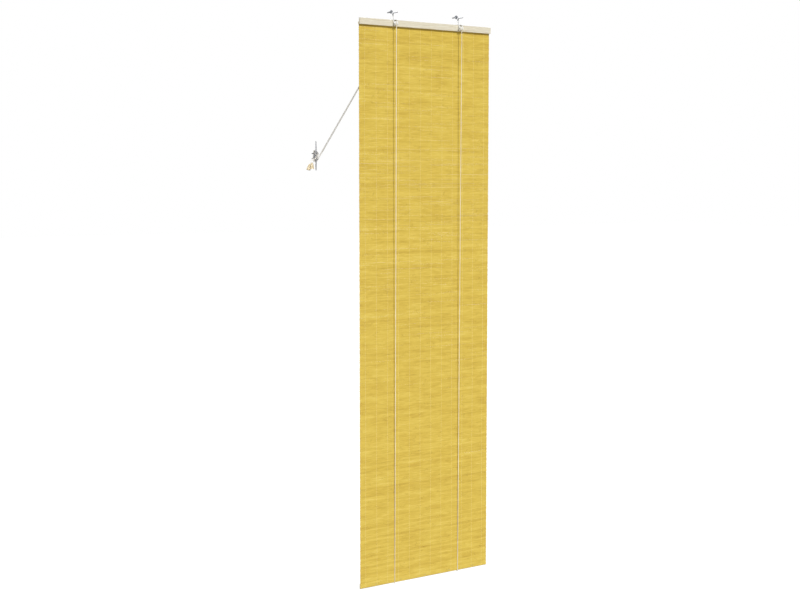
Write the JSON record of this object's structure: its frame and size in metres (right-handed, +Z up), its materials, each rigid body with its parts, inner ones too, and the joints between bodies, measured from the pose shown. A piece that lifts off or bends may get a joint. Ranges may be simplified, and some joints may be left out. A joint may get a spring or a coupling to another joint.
{
  "type": "bamboo roll up blind",
  "caption": "Woven bamboo blind on a wooden head rail, hung on wall hooks, with lift cords over grooved wheels to a wall cleat.",
  "frame": {"origin": "on the wall plane, midway between the screws of the two wall hooks", "axes": "+Z up, +X to the right seen from the front, the front of the blind faces -Y, +Y into the wall"},
  "size_m": [0.8222, 0.0758, 2.2431],
  "materials": {
    "bamboo": "natural",
    "pale_wood": "planed",
    "bell_wood": "turned",
    "cord": "twisted",
    "zinc": "zinc plated",
    "white_enamel": "enamelled",
    "white_plastic": "moulded"
  },
  "bodies": {
    "head": {"head_rail": "pale_wood", "rear_strip": "pale_wood", "bamboo_mat": "bamboo", "rail_nails": "zinc", "cord_saddle": "zinc", "tie_staples": "zinc", "bracket_screws": "zinc", "cleat_screws": "zinc", "wall_cleat": "zinc", "cord_winding": "cord", "wall_hook_left": "zinc", "bracket_left": "white_enamel", "wheel_pin_left": "zinc", "cord_eyelet_left": "white_plastic", "lift_cord_top_left": "cord", "lift_cord_front_left": "cord", "lift_cord_back_left": "cord", "pull_cord_left": "cord", "bell_left": "bell_wood", "bell_cord_left": "cord", "wall_hook_right": "zinc", "bracket_right": "white_enamel", "wheel_pin_right": "zinc", "cord_eyelet_right": "white_plastic", "lift_cord_top_right": "cord", "lift_cord_front_right": "cord", "lift_cord_back_right": "cord", "pull_cord_right": "cord", "bell_right": "bell_wood", "bell_cord_right": "cord"},
    "lower_edge": {"bottom_batten": "pale_wood", "batten_staples": "zinc", "lift_cord_loop_left": "cord", "lift_cord_loop_right": "cord"},
    "wheel_left": {"cord_wheel_left": "white_plastic"},
    "wheel_right": {"cord_wheel_right": "white_plastic"}
  },
  "joints": [
    {"name": "lift", "type": "slide", "parent": "head", "child": "lower_edge", "axis": [0, 0, 1], "range_m": [0, 2.04], "deforming": ["bamboo_mat", "lift_cord_front_left", "lift_cord_front_right", "lift_cord_back_left", "lift_cord_back_right"]},
    {"name": "wheel_turn_left", "type": "hinge", "parent": "head", "child": "wheel_left", "pos_m": [-0.15, -0.0336, -0.047], "axis": [1, 0, 0], "continuous": true},
    {"name": "wheel_turn_right", "type": "hinge", "parent": "head", "child": "wheel_right", "pos_m": [0.15, -0.0336, -0.047], "axis": [1, 0, 0], "continuous": true}
  ],
  "couplings": [
    {"joint": "wheel_turn_left", "follows": "lift", "rad_per_m": -333.33},
    {"joint": "wheel_turn_right", "follows": "lift", "rad_per_m": -333.33}
  ]
}
